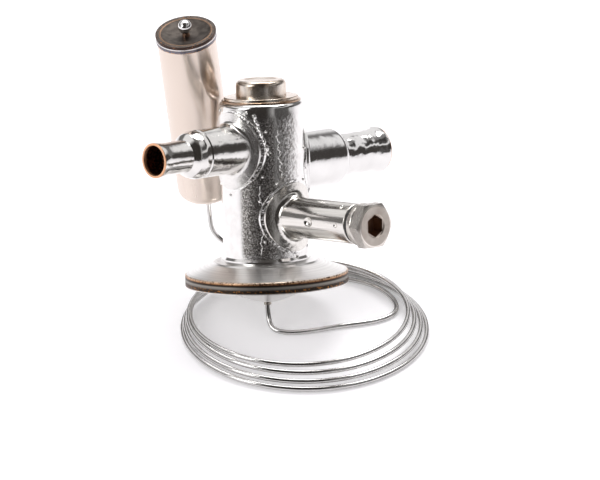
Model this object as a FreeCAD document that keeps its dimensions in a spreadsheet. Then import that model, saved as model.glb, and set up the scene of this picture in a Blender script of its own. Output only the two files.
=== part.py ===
import FreeCAD, Part
import Sketcher
import math
import os

# Thermostatic expansion valve with soldering sockets, side setting stem,
# sensing bulb and coiled capillary. Millimetres, +Z up from the surface that
# the coil stands on, origin at the middle of the coil's footprint.
# The valve's pieces are drawn upright about their own axis, with the flat of
# the diaphragm head at zero, the inlet along -X, the outlet along +X and the
# stem along -Y, and one placement leans them back to where the valve rests.

doc = FreeCAD.newDocument("ExpansionValve")
sheet = doc.addObject("Spreadsheet::Sheet", "sizes")

DRIVING_SIZES = {
    # body
    "body_radius": 13.95, "body_wall": 1.5, "body_foot_height": 8.3,
    "body_foot_flare": 0.55, "shoulder_round": 1.35,
    "stem_above_foot": 14.76, "outlet_above_stem": 15.39, "inlet_above_outlet": 7.25,
    "top_above_inlet": 14.5,
    "inlet_passage_radius": 4.2, "outlet_passage_radius": 4.6, "stem_passage_radius": 4.2,
    # diaphragm head
    "head_radius": 26.75, "lower_flange": 1.25, "diaphragm_thickness": 0.2, "support_ring": 1.2,
    "upper_flange": 1.2, "shell_wall": 1.0, "bell_ring_width": 3.25, "bell_ring_drop": 1.0,
    "bell_slope_start": 1.3, "bell_slope_rise": 0.5, "bell_ring_crest": 0.35, "bell_foot": 3.8,
    "dish_radius": 18.5, "dish_depth": 5.9, "chamber_step": 1.6, "weld_recess": 0.15,
    "collar_radius": 1.25, "collar_length": 1.2, "collar_lead": 4.2,
    # closure on top
    "plug_step_inset": 1.0, "plug_step": 0.7, "plug_flange_inset": 1.75, "plug_flange": 0.9,
    "plug_round": 0.25,
    "plug_depth": 2.0, "plug_guide_radius": 4.2, "plug_guide_depth": 7.7, "plug_bore_depth": 5.1,
    "button_inset": 3.95, "button_height": 5.4, "button_round": 1.6, "button_rim": 2.65,
    "button_dish": 0.25, "button_dish_slope": 0.8,
    # saddle plates and trumpets of the three side fittings
    "saddle_thickness": 1.1, "saddle_gap": 0.03, "bead_width": 0.8,
    "bead_height": 0.55,
    "inlet_saddle_inset": 3.75, "inlet_saddle_half_height": 12.6, "inlet_saddle_drop": 0.5,
    "inlet_trumpet": 1.6,
    "outlet_saddle_inset": 2.35, "outlet_saddle_half_height": 12.6, "outlet_trumpet": 1.5,
    "stem_saddle_inset": 3.85, "stem_saddle_lift": 3.46, "stem_trumpet": 2.4,
    # inlet fitting, out from the body's wall
    "inlet_collar_length": 17.25, "inlet_collar_radius": 7.9, "inlet_collar_wall": 1.3,
    "inlet_groove_back": 1.8, "inlet_groove_width": 1.3, "inlet_groove_depth": 0.35,
    "inlet_dome": 4.0, "inlet_dome_round": 2.5, "inlet_tube_length": 12.6,
    "inlet_tube_radius": 5.35, "inlet_mouth_radius": 5.75, "inlet_mouth_length": 4.2,
    "inlet_mouth_edge": 0.9,
    "inlet_socket_radius": 4.8, "inlet_socket_depth": 8.4, "inlet_stop_radius": 4.2,
    # outlet fitting
    "outlet_collar_length": 17.45, "outlet_collar_radius": 9.65, "outlet_collar_wall": 1.45,
    "outlet_collar_round": 2.6, "outlet_tube_length": 19.9,
    "outlet_tube_radius": 6.9, "outlet_mouth_radius": 7.75, "outlet_mouth_length": 5.1,
    "outlet_mouth_edge": 1.0,
    "outlet_socket_radius": 6.4, "outlet_socket_depth": 10.3, "outlet_stop_radius": 5.6,
    # copper linings of both sockets
    "liner_wall": 0.2, "liner_play": 0.02, "liner_lip": 0.25, "liner_lip_margin": 0.1,
    "liner_bell": 0.18, "liner_bell_length": 0.8, "liner_end_gap": 0.25,
    # stem and its cap
    "stem_radius": 6.6, "stem_bore_radius": 5.2, "stem_length": 30.05, "stem_end_round": 0.3,
    "dimple_back": 3.8, "dimple_radius": 1.1, "dimple_depth": 0.45, "dimple_count": 6,
    "stake_past_body": 13.45, "stake_radius": 2.6, "stake_depth": 0.8,
    "cap_seal_thickness": 0.8, "cap_seal_radius": 6.3, "cap_shank_radius": 5.0,
    "cap_shank_length": 2.9, "cap_shank_bore": 3.4, "cap_shank_recess": 3.4,
    "cap_collar_radius": 6.95, "cap_collar_length": 3.2, "cap_collar_round": 1.2,
    "hex_across": 13.9, "hex_length": 4.15, "hex_chamfer": 0.55, "key_across": 6.4,
    "key_depth": 4.4, "key_sink_radius": 3.95, "key_sink_depth": 0.3,
    # setting train
    "crown_pitch_share": 0.7377, "pinion_teeth": 8, "crown_teeth": 24, "tooth_thickness": 0.8,
    "tooth_tip_thickness": 0.45, "tooth_addendum": 0.58, "tooth_root_clearance": 0.15,
    "pinion_side_gap": 0.2, "pinion_neck_radius": 2.0, "pinion_neck_past_body": 0.55,
    "spindle_radius": 2.5, "spindle_shoulder_radius": 3.3, "spindle_shoulder": 1.4,
    "spindle_end_gap": 0.8, "spindle_slot_width": 0.9, "spindle_slot_depth": 1.2,
    "bush_length": 11.8, "bush_end_gap": 2.2, "packing_pocket": 1.6, "packing_cord": 1.4,
    "running_clearance": 0.05, "loose_clearance": 0.15, "seat_gap": 0.05,
    "crown_side_gap": 0.25, "crown_thickness": 3.7, "crown_bore_step": 0.8,
    "tooth_inward": 1.1, "tooth_outward": 1.5,
    "retainer_tooth_gap": 0.4, "retainer_thickness": 1.1,
    "spring_seat_drop": 5.73, "spring_seat_length": 5.0, "guide_wall_gap": 1.65,
    # superheat spring and diaphragm push rod
    "spring_inset": 1.5, "spring_wire": 1.5, "spring_turns": 4.5,
    "plate_lift": 0.15, "plate_thickness": 1.5, "plate_inset": 2.2, "plate_edge_bevel": 0.5,
    "plate_hub_radius": 3.0, "plate_hub": 1.5, "pin_radius": 1.25, "valve_stroke": 0.8,
    "guide_foot_lift": 0.9, "guide_flange": 4.0, "press_gap": 0.1,
    # seat and valve cone
    "block_above_outlet": 4.55, "block_below_outlet": 7.05, "orifice_radius": 2.4,
    "orifice_length": 1.4, "block_bore_radius": 3.4, "block_bore_drop": 3.95,
    "outlet_bore_radius": 3.0, "packing_pocket_radius": 3.2, "packing_pocket_depth": 1.6,
    "cone_tip_radius": 1.6, "cone_tip": 0.8, "cone_radius": 3.3, "cone_height": 1.9,
    "cone_band": 1.0, "cone_neck": 0.6, "cone_stem_radius": 2.5, "cone_top_gap": 0.6,
    # strainer basket in the inlet
    "strainer_radius": 4.6, "strainer_wall": 0.4, "strainer_past_body": 1.45,
    "strainer_flange_back": 2.1, "strainer_flange": 0.8, "strainer_slot_width": 1.6,
    "strainer_slot_margin": 2.2, "strainer_slots": 8,
    # sensing bulb, along its own axis
    "bulb_radius": 9.65, "bulb_wall": 0.6, "bulb_length": 62.7, "bulb_bottom_round": 3.5,
    "bulb_rim_wall": 0.32, "bulb_rim_height": 2.6, "bulb_disc": 0.9, "bulb_disc_inset": 0.05,
    "bulb_ridge_inset": 1.1, "bulb_ridge_width": 0.35, "bulb_ridge_height": 0.12,
    "bulb_rim_round": 0.12, "bulb_dish": 1.4, "bulb_dish_floor": 3.4,
    "fill_neck_radius": 1.3, "fill_neck": 1.2, "fill_ball_radius": 2.33, "fill_ball_lift": 3.3,
    # capillary and its coil
    "capillary_radius": 0.85, "coil_height": 6.8,
    "coil_low_x": 0.1, "coil_low_y": -2.3, "coil_low_outer": 42.0, "coil_low_inner": 39.4,
    "coil_high_x": -1.7, "coil_high_y": 1.2, "coil_high_outer": 37.9, "coil_high_inner": 35.5,
    # where the valve and the bulb rest
    "head_x": -12.1, "head_y": 4.36, "head_z": 14.45, "lean": 20.5, "roll": 1.9, "yaw": 44.1,
    "bulb_left": 17.95, "bulb_behind": 25.05, "bulb_z": 29.4, "bulb_lean_left": 6.16,
    "bulb_lean_front": 4.5,
}

for row, (alias, number) in enumerate(DRIVING_SIZES.items(), start=1):
    sheet.set(f"A{row}", alias)
    sheet.set(f"B{row}", str(number))
    sheet.setAlias(f"B{row}", alias)
doc.recompute()


class Size:
    """A length that knows its value and the sheet expression that gives it."""

    def __init__(self, value, text):
        self.value, self.text = value, text

    def join(self, other, sign, swap=False):
        other = as_size(other)
        first, last = (other, self) if swap else (self, other)
        value = {"+": first.value + last.value, "-": first.value - last.value,
                 "*": first.value * last.value,
                 "/": first.value / last.value if last.value else 0.0}[sign]
        return Size(value, f"({first.text} {sign} {last.text})")

    def __add__(self, other):
        return self.join(other, "+")

    def __sub__(self, other):
        return self.join(other, "-")

    def __rsub__(self, other):
        return self.join(other, "-", swap=True)

    def __mul__(self, other):
        return self.join(other, "*")

    def __truediv__(self, other):
        return self.join(other, "/")

    def __neg__(self):
        return self * -1

    __radd__, __rmul__ = __add__, __mul__


def as_size(thing):
    return thing if isinstance(thing, Size) else Size(float(thing), repr(float(thing)))


class Sizes:
    """Looks up the driving sizes by name."""

    def __getattr__(self, name):
        return Size(float(sheet.get(name)), f"sizes.{name}")


size = Sizes()
ORIGIN = FreeCAD.Vector(0, 0, 0)
AXIS_X, AXIS_Y, AXIS_Z = FreeCAD.Vector(1, 0, 0), FreeCAD.Vector(0, 1, 0), FreeCAD.Vector(0, 0, 1)
parts = {}


def turn(axis, degrees):
    return FreeCAD.Placement(ORIGIN, FreeCAD.Rotation(axis, degrees))


def shift(x, y, z):
    return FreeCAD.Placement(FreeCAD.Vector(x, y, z), FreeCAD.Rotation())


VALVE_PLACE = (shift(size.head_x.value, size.head_y.value, size.head_z.value)
               * turn(AXIS_Y, -size.roll.value) * turn(AXIS_X, -size.lean.value)
               * turn(AXIS_Z, size.yaw.value))


# Heights of the three side fittings, the bore and the closed top of the body.

stem_height = size.body_foot_height + size.stem_above_foot
outlet_height = stem_height + size.outlet_above_stem
inlet_height = outlet_height + size.inlet_above_outlet
body_top = inlet_height + size.top_above_inlet
body_bore = size.body_radius - size.body_wall
stem_end = size.body_radius + size.stem_length


def port_place(outward, height):
    """A fitting's own frame: +Z out along the port, +Y up along the body."""
    across = AXIS_Z.cross(outward)
    return (VALVE_PLACE * shift(0, 0, height.value)
            * FreeCAD.Placement(ORIGIN, FreeCAD.Rotation(across, AXIS_Z, outward, "ZYX")))


INLET_PLACE = port_place(-AXIS_X, inlet_height)
OUTLET_PLACE = port_place(AXIS_X, outlet_height)
STEM_PLACE = port_place(-AXIS_Y, stem_height)
BULB_PLACE = (shift(-(size.body_radius + size.bulb_left).value,
                    (size.body_radius + size.bulb_behind).value, size.bulb_z.value)
              * turn(AXIS_Y, -size.bulb_lean_left.value)
              * turn(AXIS_X, size.bulb_lean_front.value))


# Features shared by many pieces.

def new_body(label, place):
    body = doc.addObject("PartDesign::Body", label)
    body.Label = label
    body.Placement = place
    parts[label] = body
    return body


def new_sketch(body, name, plane="XY_Plane", lift=None):
    sketch = body.newObject("Sketcher::SketchObject", name)
    origin_plane = [f for f in body.Origin.OriginFeatures if f.Role == plane][0]
    sketch.AttachmentSupport = (origin_plane, [""])
    sketch.MapMode = "FlatFace"
    if lift is not None:
        lift = as_size(lift)
        sketch.setExpression("AttachmentOffset.Base.z", lift.text)
    return sketch


def pin_point(sketch, geometry, end, x, y):
    """Holds one end of a sketch line at x, y from the sketch's origin."""
    for kind, axis, place in (("DistanceX", -2, as_size(x)), ("DistanceY", -1, as_size(y))):
        if place.value == 0:
            sketch.addConstraint(Sketcher.Constraint("PointOnObject", geometry, end, axis))
        else:
            index = sketch.addConstraint(
                Sketcher.Constraint(kind, -1, 1, geometry, end, place.value))
            sketch.setExpression(f"Constraints[{index}]", place.text)


def draw_loop(sketch, points):
    """A closed outline of straight lines through points given as sizes."""
    first = sketch.GeometryCount
    corners = [FreeCAD.Vector(as_size(x).value, as_size(y).value, 0) for x, y in points]
    count = len(corners)
    for i in range(count):
        sketch.addGeometry(Part.LineSegment(corners[i], corners[(i + 1) % count]))
    for i in range(count):
        following = first + (i + 1) % count
        sketch.addConstraint(Sketcher.Constraint("Coincident", first + i, 2, following, 1))
    for i, (x, y) in enumerate(points):
        pin_point(sketch, first + i, 1, x, y)


def draw_circle(sketch, radius, x=0, y=0):
    radius = as_size(radius)
    middle = FreeCAD.Vector(as_size(x).value, as_size(y).value, 0)
    index = sketch.addGeometry(Part.Circle(middle, AXIS_Z, radius.value))
    if as_size(x).value == 0 and as_size(y).value == 0:
        sketch.addConstraint(Sketcher.Constraint("Coincident", index, 3, -1, 1))
    else:
        pin_point(sketch, index, 3, x, y)
    hold = sketch.addConstraint(Sketcher.Constraint("Radius", index, radius.value))
    sketch.setExpression(f"Constraints[{hold}]", radius.text)


def draw_ellipse(sketch, half_width, half_height, rise=0):
    """An upright ellipse, centred on the sketch's Y axis."""
    rise = as_size(rise)
    tall = half_height.value > half_width.value
    reach = FreeCAD.Vector(0, half_height.value, 0) if tall else FreeCAD.Vector(half_width.value, 0, 0)
    other = FreeCAD.Vector(-half_width.value, 0, 0) if tall else FreeCAD.Vector(0, half_height.value, 0)
    middle = FreeCAD.Vector(0, rise.value, 0)
    index = sketch.addGeometry(Part.Ellipse(middle + reach, middle + other, middle))
    sketch.exposeInternalGeometry(index)
    pin_point(sketch, index, 3, 0, rise)
    sketch.addConstraint(Sketcher.Constraint("Vertical" if tall else "Horizontal", index + 1))
    spans = (half_height, half_width) if tall else (half_width, half_height)
    for line, span in zip((index + 1, index + 2), spans):
        hold = sketch.addConstraint(Sketcher.Constraint("Distance", line, 2 * span.value))
        sketch.setExpression(f"Constraints[{hold}]", (span * 2).text)


def draw_hexagon(sketch, across, corners_sideways):
    flat, half_side, corner = across / 2, across * 0.5 / math.sqrt(3), across / math.sqrt(3)
    points = [(corner, 0), (half_side, flat), (-half_side, flat),
              (-corner, 0), (-half_side, -flat), (half_side, -flat)]
    draw_loop(sketch, points if corners_sideways else [(y, x) for x, y in points])


def revolve(body, points, name="Turned", cut=False):
    """Turns an outline of (radius, height) points about the body's Z axis."""
    sketch = new_sketch(body, f"{body.Name}{name}Outline", "XZ_Plane")
    draw_loop(sketch, points)
    kind = "PartDesign::Groove" if cut else "PartDesign::Revolution"
    feature = body.newObject(kind, f"{body.Name}{name}")
    feature.Profile = sketch
    feature.ReferenceAxis = (sketch, ["V_Axis"])
    feature.Angle = 360
    return settle(body, feature, cut)


def settle(body, feature, cut=False):
    """Recomputes and makes sure that a cut has taken something away."""
    before = feature.BaseFeature.Shape.Volume if cut and feature.BaseFeature else None
    doc.recompute()
    if not feature.isValid():
        raise RuntimeError(f"{feature.Name} failed: {feature.State}")
    if before is not None and feature.Shape.Volume > before - 1e-6:
        raise RuntimeError(f"{feature.Name} cuts nothing")
    return feature


def pad(body, sketch, length, name):
    feature = body.newObject("PartDesign::Pad", f"{body.Name}{name}")
    feature.Profile = sketch
    feature.setExpression("Length", as_size(length).text)
    return settle(body, feature)


def cut_through(body, sketch, name):
    """Cuts the sketch's area away on both sides of its plane."""
    feature = body.newObject("PartDesign::Pocket", f"{body.Name}{name}")
    feature.Profile = sketch
    feature.Type = "ThroughAll"
    feature.SideType = "Symmetric"
    return settle(body, feature, cut=True)


def cut_deep(body, sketch, depth, name, upward=True):
    """Cuts to a depth on one side of the sketch's plane, along its normal or against it."""
    feature = body.newObject("PartDesign::Pocket", f"{body.Name}{name}")
    feature.Profile = sketch
    feature.setExpression("Length", as_size(depth).text)
    feature.Reversed = upward
    return settle(body, feature, cut=True)


def ring_edges(shape, places):
    """Names of the circular edges about Z at each (radius, height)."""
    found = []
    for radius, height in places:
        radius, height = as_size(radius).value, as_size(height).value
        for number, edge in enumerate(shape.Edges, start=1):
            curve = edge.Curve
            if (isinstance(curve, Part.Circle) and abs(curve.Radius - radius) < 1e-4
                    and abs(curve.Center.z - height) < 1e-4 and abs(curve.Center.x) < 1e-4):
                found.append(f"Edge{number}")
    return found


def soften(body, radius, edges, name="Rounds", kind="PartDesign::Fillet"):
    """Rounds or chamfers named edges of the piece as it stands."""
    base = body.Tip
    if not edges:
        raise RuntimeError(f"{body.Name}{name} finds no edge")
    feature = body.newObject(kind, f"{body.Name}{name}")
    feature.Base = (base, edges)
    feature.setExpression("Size" if kind.endswith("Chamfer") else "Radius", as_size(radius).text)
    return settle(body, feature)


def spread(body, feature, count, name):
    """Repeats a feature evenly about the body's Z axis."""
    pattern = body.newObject("PartDesign::PolarPattern", f"{body.Name}{name}")
    pattern.Originals = [feature]
    axis = [f for f in body.Origin.OriginFeatures if f.Role == "Z_Axis"][0]
    pattern.Axis = (axis, [""])
    pattern.Angle = 360
    pattern.setExpression("Occurrences", as_size(count).text)
    body.Tip = pattern
    return settle(body, pattern)


# Heights that several pieces share, worked up from the flat of the head.

rim_diaphragm = size.lower_flange
rim_support = rim_diaphragm + size.diaphragm_thickness
rim_upper = rim_support + size.support_ring
rim_top = rim_upper + size.upper_flange
plug_step_top = body_top + size.plug_step
plug_top = plug_step_top + size.plug_flange
bell_ring = size.body_radius + size.bell_ring_width
chamber = bell_ring - size.chamber_step


def make_valve_body():
    """Drawn tube with a flared foot, a rounded shoulder and three side holes."""
    body = new_body("valve_body", VALVE_PLACE)
    foot, top, radius = size.body_foot_height, body_top, size.body_radius
    flare = size.body_foot_flare
    revolve(body, [(body_bore, foot), (radius + flare, foot), (radius + flare, foot + flare),
                   (radius, foot + flare * 2.5), (radius, top), (body_bore, top)])
    soften(body, size.shoulder_round, ring_edges(body.Tip.Shape, [(radius, top)]))
    for name, plane, height, hole, against in (
            ("Inlet", "YZ_Plane", inlet_height, size.inlet_passage_radius, False),
            ("Outlet", "YZ_Plane", outlet_height, size.outlet_passage_radius, True),
            ("Stem", "XZ_Plane", stem_height, size.stem_passage_radius, True)):
        sketch = new_sketch(body, f"{name}HoleOutline", plane)
        draw_circle(sketch, hole, 0, height)
        cut_deep(body, sketch, radius + flare, f"{name}Hole", upward=against)


def make_head():
    """Lower shell, diaphragm, support ring and upper bell, welded at the rim."""
    rim = size.head_radius
    lower = new_body("head_lower_shell", VALVE_PLACE)
    wall, depth, dish = size.shell_wall, size.dish_depth, size.dish_radius
    under = [(rim, 0), (dish, 0), (dish * 0.66, -depth * 0.44), (dish * 0.3, -depth * 0.9),
             (dish * 0.16, -depth), (size.capillary_radius, -depth)]
    inside = [(size.capillary_radius, wall - depth), (dish * 0.16, wall - depth),
              (dish * 0.3, wall - depth * 0.9), (dish * 0.66, wall - depth * 0.44),
              (dish - wall * 0.5, size.lower_flange), (rim, size.lower_flange)]
    revolve(lower, under + inside)
    shape = lower.Tip.Shape
    soften(lower, wall * 2, ring_edges(shape, [under[1], under[2], under[3]]), "Press")

    collar = new_body("capillary_collar", VALVE_PLACE)
    revolve(collar, [(size.capillary_radius, -depth - size.collar_length),
                     (size.collar_radius, -depth - size.collar_length),
                     (size.collar_radius, -depth), (size.capillary_radius, -depth)])

    sheet_radius = rim - size.weld_recess
    diaphragm = new_body("diaphragm", VALVE_PLACE)
    low, thick = rim_diaphragm, size.diaphragm_thickness
    wave, wave_step, wave_start = thick * 1.5, chamber * 0.1, chamber * 0.9
    lower_line = [(sheet_radius, low)]
    for turn_number in range(4):
        lift = low - wave if turn_number % 2 == 0 else low
        lower_line.append((wave_start - wave_step * turn_number, lift if turn_number else low))
    lower_line.append((wave_start - wave_step * 4, low))
    upper_line = [(radius, height + thick) for radius, height in reversed(lower_line)]
    revolve(diaphragm, [(0, low)] + list(reversed(lower_line)) + list(reversed(upper_line))
            + [(0, low + thick)])

    ring = new_body("head_support_ring", VALVE_PLACE)
    revolve(ring, [(chamber, rim_support), (rim, rim_support), (rim, rim_upper),
                   (chamber, rim_upper)])

    upper = new_body("head_upper_shell", VALVE_PLACE)
    neck, neck_top = size.body_radius + size.body_foot_flare, size.body_foot_height
    ring_height, slope, crest = neck_top - size.bell_ring_drop, size.bell_slope_start, size.bell_ring_crest
    crown = size.shell_wall * 1.3
    revolve(upper, [(bell_ring + size.bell_foot, rim_upper), (rim, rim_upper), (rim, rim_top),
                    (rim - slope, rim_top + size.bell_slope_rise),
                    (bell_ring + slope, ring_height - crest), (bell_ring + crest, ring_height),
                    (bell_ring, ring_height + crest * 1.6),
                    (bell_ring - crest * 3, ring_height + crest * 2), (neck, neck_top),
                    (body_bore, neck_top), (body_bore, neck_top - crown),
                    (bell_ring - crown * 0.5, ring_height - crown * 1.8)])
    soften(upper, size.bell_slope_rise, ring_edges(upper.Tip.Shape, [(rim, rim_top)]), "RimRound")


def make_closure():
    """Plug welded into the top of the body, and the button that seals it."""
    plug = new_body("closure_plug", VALVE_PLACE)
    top, inner = body_top, body_bore - size.seat_gap
    step, flange = size.body_radius - size.plug_step_inset, size.body_radius - size.plug_flange_inset
    guide_bore = size.cone_stem_radius + size.running_clearance
    guide_low = top - size.plug_guide_depth
    revolve(plug, [(0, guide_low + size.plug_bore_depth), (guide_bore, guide_low + size.plug_bore_depth),
                   (guide_bore, guide_low), (size.plug_guide_radius, guide_low),
                   (size.plug_guide_radius, top - size.plug_depth), (inner, top - size.plug_depth),
                   (inner, top), (step, top), (step, plug_step_top),
                   (flange, plug_step_top), (flange, plug_top), (0, plug_top)])
    soften(plug, size.plug_round, ring_edges(plug.Tip.Shape, [(step, plug_step_top), (flange, plug_top)]))

    button = new_body("closure_button", VALVE_PLACE)
    high, edge = plug_top + size.button_height, flange - size.button_inset
    dish, floor = edge - size.button_rim, high - size.button_dish
    revolve(button, [(0, plug_top), (edge, plug_top), (edge, high), (dish, high),
                     (dish - size.button_dish_slope, floor), (0, floor)])
    soften(button, size.button_round, ring_edges(button.Tip.Shape, [(edge, high)]))


def keep_inside(body, radius, name):
    """Trims a piece to a cylinder about the valve's axis, which is its own Y axis."""
    sketch = new_sketch(body, f"{body.Name}{name}Outline", "XZ_Plane")
    reach = radius * 2
    draw_loop(sketch, [(-reach, -reach), (reach, -reach), (reach, reach), (-reach, reach)])
    draw_circle(sketch, radius)
    cut_through(body, sketch, name)


def keep_outside(body, radius, name):
    """Hollows a piece to sit on a cylinder about the valve's axis."""
    sketch = new_sketch(body, f"{body.Name}{name}Outline", "XZ_Plane")
    draw_circle(sketch, radius)
    cut_through(body, sketch, name)


def saddle_fitting(label, place, saddle, passage, outline, trumpet):
    """A tube pulled out of a saddle plate, with a trumpet between the two."""
    half_width, half_height, rise = saddle
    plate_top = size.body_radius + size.saddle_thickness
    body = new_body(label, place)
    plate = new_sketch(body, f"{label}Plate")
    draw_ellipse(plate, half_width, half_height, rise)
    pad(body, plate, plate_top * 1.2, "Saddle")
    keep_inside(body, plate_top, "SaddleFace")
    hole = new_sketch(body, f"{label}Passage")
    draw_circle(hole, passage)
    cut_through(body, hole, "Bore")
    revolve(body, outline)
    keep_outside(body, size.body_radius + size.saddle_gap, "SaddleSeat")
    tube = outline[0][0].value
    names = []
    for number, edge in enumerate(body.Tip.Shape.Edges, start=1):
        spots = edge.discretize(9)
        if all(abs(math.hypot(p.x, p.y) - tube) < 1e-3
               and abs(math.hypot(p.x, p.z) - plate_top.value) < 1e-3 for p in spots):
            names.append(f"Edge{number}")
    soften(body, trumpet, names, "Trumpet")
    return body


def saddle_bead(label, place, saddle):
    """The weld bead that runs round a saddle plate on the body."""
    half_width, half_height, rise = saddle
    body = new_body(label, place)
    bead_top = size.body_radius + size.bead_height
    sketch = new_sketch(body, f"{label}Outline")
    draw_ellipse(sketch, half_width + size.bead_width, half_height + size.bead_width, rise)
    draw_ellipse(sketch, half_width + size.saddle_gap, half_height + size.saddle_gap, rise)
    pad(body, sketch, bead_top * 1.2, "Bead")
    keep_inside(body, bead_top, "BeadFace")
    keep_outside(body, size.body_radius + size.saddle_gap, "BeadSeat")
    sides = [side for side in body.Tip.Shape.Solids]
    if len(sides) != 1:
        raise RuntimeError(f"{label} is {len(sides)} solids")


def liner(label, place, bore, reach, depth, mouth):
    """Copper lining of a soldering socket, with a lip over the tube's end."""
    body = new_body(label, place)
    wall, lip, bell = size.liner_wall, size.liner_lip, size.liner_bell
    start, rim = reach - depth + size.liner_end_gap, mouth - size.liner_lip_margin
    revolve(body, [(bore, start), (bore + wall, start), (bore + wall, reach - lip),
                   (rim, reach - lip), (rim, reach), (bore + bell, reach),
                   (bore, reach - size.liner_bell_length)])


inlet_collar_end = size.body_radius + size.inlet_collar_length


def make_inlet():
    """Inlet collar with its groove and dome, the swaged tube and its copper lining."""
    collar, tube, mouth = size.inlet_collar_radius, size.inlet_tube_radius, size.inlet_mouth_radius
    wall, half = size.inlet_collar_wall, size.inlet_groove_width / 2
    collar_end, groove = inlet_collar_end, inlet_collar_end - size.inlet_groove_back
    dome_end = collar_end + size.inlet_dome
    reach = dome_end + size.inlet_tube_length
    end = reach - size.liner_lip - size.liner_play
    socket = size.inlet_socket_radius + size.liner_wall + size.liner_play
    floor = reach - size.inlet_socket_depth
    dip, cheek = collar - size.inlet_groove_depth, collar - (collar - tube) * 0.31
    cheek_at = collar_end + size.inlet_dome * 0.6
    outline = [(collar, size.body_radius / 2), (collar, groove - half),
               (dip, groove - half * 0.4), (dip, groove + half * 0.4),
               (collar, groove + half), (collar, collar_end), (cheek, cheek_at), (tube, dome_end),
               (tube, reach - size.inlet_mouth_length), (mouth, end - size.inlet_mouth_edge),
               (mouth, end), (socket, end), (socket, floor), (size.inlet_stop_radius, floor),
               (size.inlet_stop_radius, dome_end - wall),
               (collar - wall, collar_end - wall * 0.6), (collar - wall, size.body_radius / 2)]
    half_width = size.body_radius - size.inlet_saddle_inset
    saddle = (half_width, size.inlet_saddle_half_height, -size.inlet_saddle_drop)
    body = saddle_fitting("inlet_socket", INLET_PLACE, saddle, collar - wall, outline,
                          size.inlet_trumpet)
    soften(body, size.inlet_dome_round,
           ring_edges(body.Tip.Shape, [(collar, collar_end), (cheek, cheek_at)]), "Dome")
    liner("inlet_copper_liner", INLET_PLACE, size.inlet_socket_radius, reach,
          size.inlet_socket_depth, mouth)
    saddle_bead("inlet_weld_bead", INLET_PLACE, saddle)


def make_strainer():
    """Slotted basket held in the inlet collar, open towards the mouth."""
    body = new_body("inlet_strainer", INLET_PLACE)
    radius, wall = size.strainer_radius, size.strainer_wall
    inner_end = size.body_radius + size.strainer_past_body
    flange = inlet_collar_end - size.strainer_flange_back
    collar = size.inlet_collar_radius - size.inlet_collar_wall - size.seat_gap
    revolve(body, [(0, inner_end), (radius, inner_end), (radius, flange - size.strainer_flange),
                   (collar, flange - size.strainer_flange), (collar, flange),
                   (radius - wall, flange), (radius - wall, inner_end + wall),
                   (0, inner_end + wall)])
    slot = new_sketch(body, "StrainerSlotOutline", "XZ_Plane")
    margin, half = size.strainer_slot_margin, size.strainer_slot_width / 2
    low, high = inner_end + margin, flange - size.strainer_flange - margin
    draw_loop(slot, [(-half, low), (half, low), (half, high), (-half, high)])
    first = cut_deep(body, slot, radius * 1.2, "Slot")
    spread(body, first, size.strainer_slots, "Slots")


def make_outlet():
    """Outlet collar, the expanded tube and its copper lining."""
    collar, tube, mouth = size.outlet_collar_radius, size.outlet_tube_radius, size.outlet_mouth_radius
    wall, collar_end = size.outlet_collar_wall, size.body_radius + size.outlet_collar_length
    reach = collar_end + size.outlet_tube_length
    end = reach - size.liner_lip - size.liner_play
    socket = size.outlet_socket_radius + size.liner_wall + size.liner_play
    floor = reach - size.outlet_socket_depth
    outline = [(collar, size.body_radius / 2), (collar, collar_end), (tube, collar_end),
               (tube, reach - size.outlet_mouth_length),
               (mouth, end - size.outlet_mouth_edge), (mouth, end), (socket, end),
               (socket, floor), (size.outlet_stop_radius, floor),
               (size.outlet_stop_radius, collar_end - wall),
               (collar - wall, collar_end - wall * 1.8), (collar - wall, size.body_radius / 2)]
    half_width = size.body_radius - size.outlet_saddle_inset
    saddle = (half_width, size.outlet_saddle_half_height, as_size(0))
    body = saddle_fitting("outlet_socket", OUTLET_PLACE, saddle, collar - wall, outline,
                          size.outlet_trumpet)
    soften(body, size.outlet_collar_round, ring_edges(body.Tip.Shape, [(collar, collar_end)]),
           "Shoulder")
    liner("outlet_copper_liner", OUTLET_PLACE, size.outlet_socket_radius, reach,
          size.outlet_socket_depth, mouth)
    saddle_bead("outlet_weld_bead", OUTLET_PLACE, saddle)


def make_stem():
    """Stem tube that houses the setting spindle, staked once and dimpled round its end."""
    radius = size.stem_radius
    outline = [(radius, size.body_radius / 2), (radius, stem_end),
               (size.stem_bore_radius, stem_end), (size.stem_bore_radius, size.body_radius / 2)]
    half_height = size.stem_above_foot - size.stem_saddle_lift
    saddle = (size.body_radius - size.stem_saddle_inset, half_height, as_size(0))
    body = saddle_fitting("stem_housing", STEM_PLACE, saddle, size.stem_bore_radius, outline,
                          size.stem_trumpet)
    soften(body, size.stem_end_round, ring_edges(body.Tip.Shape, [(radius, stem_end)]), "EndRound")
    dimple_at, stake_at = stem_end - size.dimple_back, size.body_radius + size.stake_past_body
    dimple = ball_cut(body, "Dimple", size.dimple_radius, size.dimple_depth, dimple_at)
    spread(body, dimple, size.dimple_count, "Dimples")
    ball_cut(body, "Stake", size.stake_radius, size.stake_depth, stake_at)
    saddle_bead("stem_weld_bead", STEM_PLACE, saddle)


def ball_cut(body, name, radius, depth, along):
    """A punched dimple in the side of the stem."""
    ball = body.newObject("PartDesign::SubtractiveSphere", f"{body.Name}{name}")
    ball.setExpression("Radius", radius.text)
    out = -(size.stem_radius + radius - depth)
    ball.setExpression("AttachmentOffset.Base.x", out.text)
    ball.setExpression("AttachmentOffset.Base.z", along.text)
    plane = [f for f in body.Origin.OriginFeatures if f.Role == "XY_Plane"][0]
    ball.AttachmentSupport = (plane, [""])
    ball.MapMode = "FlatFace"
    return settle(body, ball, cut=True)


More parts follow.
